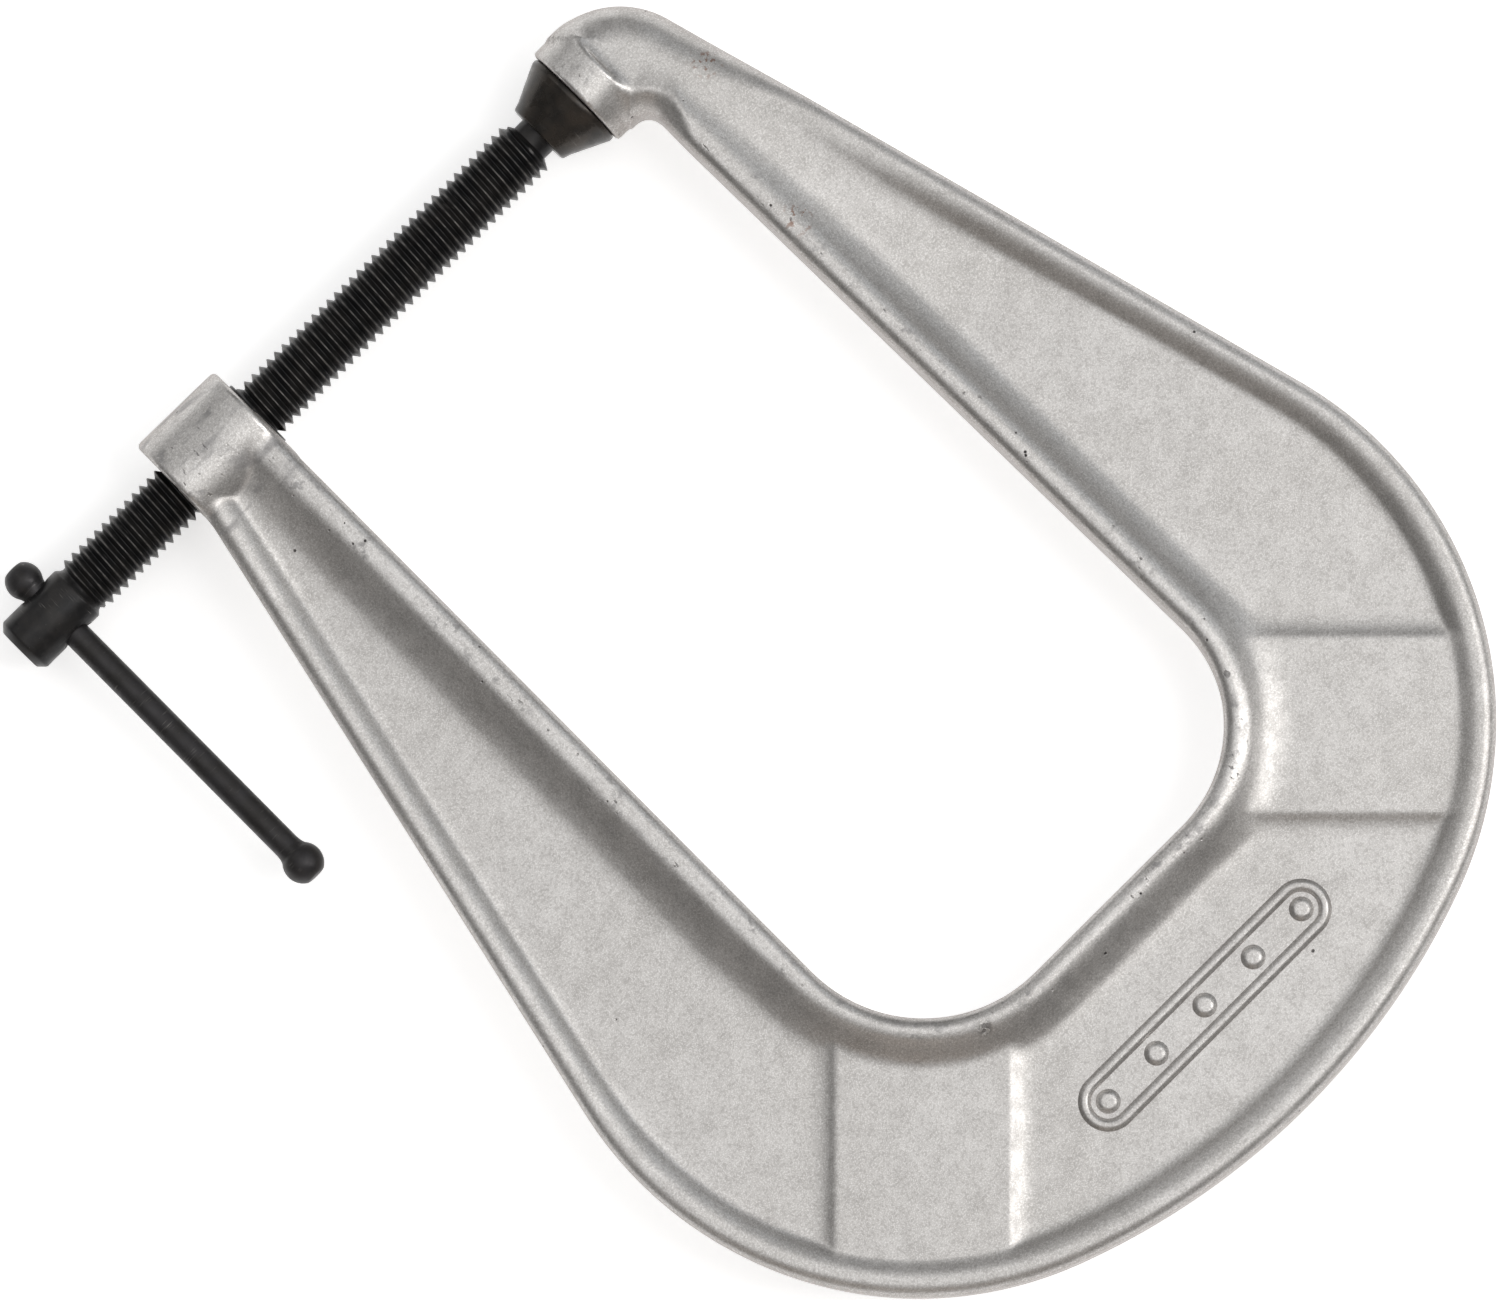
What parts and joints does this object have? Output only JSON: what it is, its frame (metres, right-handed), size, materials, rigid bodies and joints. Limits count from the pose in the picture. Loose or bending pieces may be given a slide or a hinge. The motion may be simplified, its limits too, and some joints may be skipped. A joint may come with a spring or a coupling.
{
  "type": "c clamp",
  "caption": "Deep-throat C clamp with a ribbed cast frame, a threaded spindle, a swivel pad and a sliding bar handle.",
  "frame": {"origin": "centre of the anvil's face, on the screw's axis", "axes": "+X along the screw from the handle to the anvil, -Y from the screw into the throat, +Z square to the plane of the clamp, which lies on its side"},
  "size_m": [0.1897, 0.2225, 0.0214],
  "materials": {
    "cast_aluminium": "tumbled as-cast satin with fine sand grain",
    "black_steel": "black oxide, semi-gloss, lightly oiled"
  },
  "bodies": {
    "frame": {"frame_casting": "cast_aluminium", "threaded_bushing": "black_steel"},
    "pad": {"swivel_pad": "black_steel"},
    "spindle": {"screw": "black_steel"},
    "handle": {"tommy_bar": "black_steel"}
  },
  "joints": [
    {"name": "pad_travel", "type": "slide", "parent": "frame", "child": "pad", "axis": [-1, 0, 0], "range_m": [0, 0.067]},
    {"name": "screw_turn", "type": "hinge", "parent": "pad", "child": "spindle", "pos_m": [0, 0, 0], "axis": [-1, 0, 0], "range_deg": [0, 13295]},
    {"name": "bar_slide", "type": "slide", "parent": "spindle", "child": "handle", "axis": [0, 1, 0], "range_m": [0, 0.052]}
  ],
  "couplings": [
    {"joint": "screw_turn", "follows": "pad_travel", "rad_per_m": 3463.2}
  ]
}
